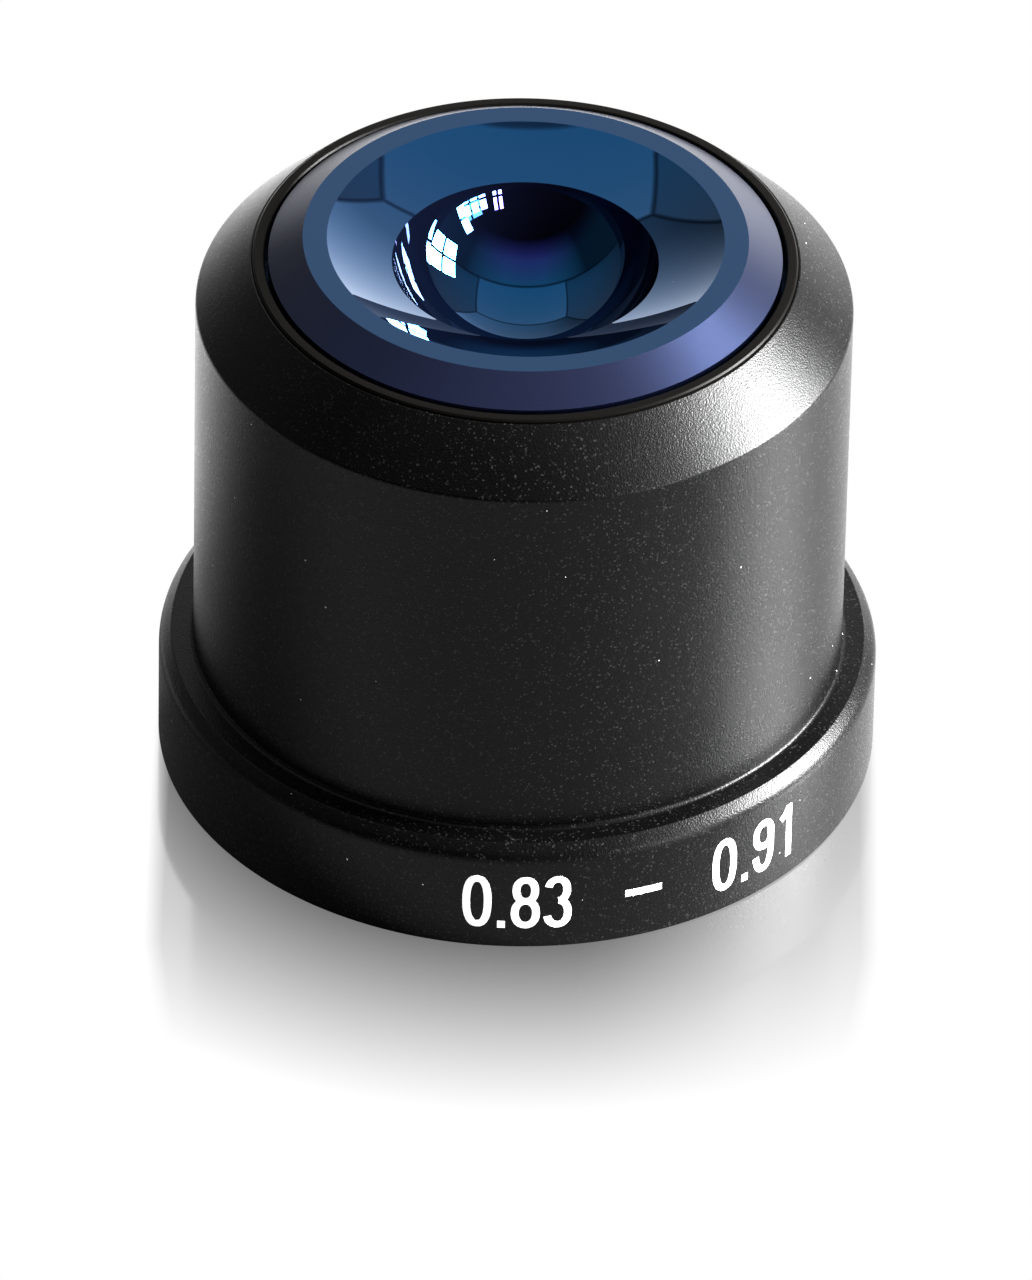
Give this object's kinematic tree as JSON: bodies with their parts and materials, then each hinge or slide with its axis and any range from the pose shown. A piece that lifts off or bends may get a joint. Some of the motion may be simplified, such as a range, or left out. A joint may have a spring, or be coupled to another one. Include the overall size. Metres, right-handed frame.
{
  "type": "microscope condenser",
  "caption": "Black turned dark-field condenser sleeve with a flanged foot, holding a cardioid glass whose bowl-shaped exit cavity faces the slide.",
  "frame": {"origin": "centre of the flange's flat underside", "axes": "+Z along the optical axis, towards the slide; -Y is the side with the aperture numerals"},
  "size_m": [0.0436, 0.0436, 0.0369],
  "materials": {
    "black_anodised": "bead-blasted, black anodised, satin with a fine sparkle",
    "cell_anodised": "turned, matt black anodised",
    "coated_glass": "polished with a blue coating, ground bevel",
    "silvered_glass": "polished, silvered hollow",
    "blackened_brass": "chemically blackened",
    "seat_plastic": "plain",
    "cushion_rubber": "plain"
  },
  "bodies": {
    "root": {"housing": "black_anodised", "lens_cell": "cell_anodised", "front_seat_washer": "seat_plastic", "front_glass": "coated_glass", "rear_glass": "silvered_glass", "rear_seat_washer": "seat_plastic", "spacer_sleeve": "cell_anodised", "annular_stop": "blackened_brass", "cushion_ring": "cushion_rubber", "clamp_ring": "blackened_brass", "cell_locking_ring": "blackened_brass", "baffle_tube": "cell_anodised"}
  },
  "joints": []
}
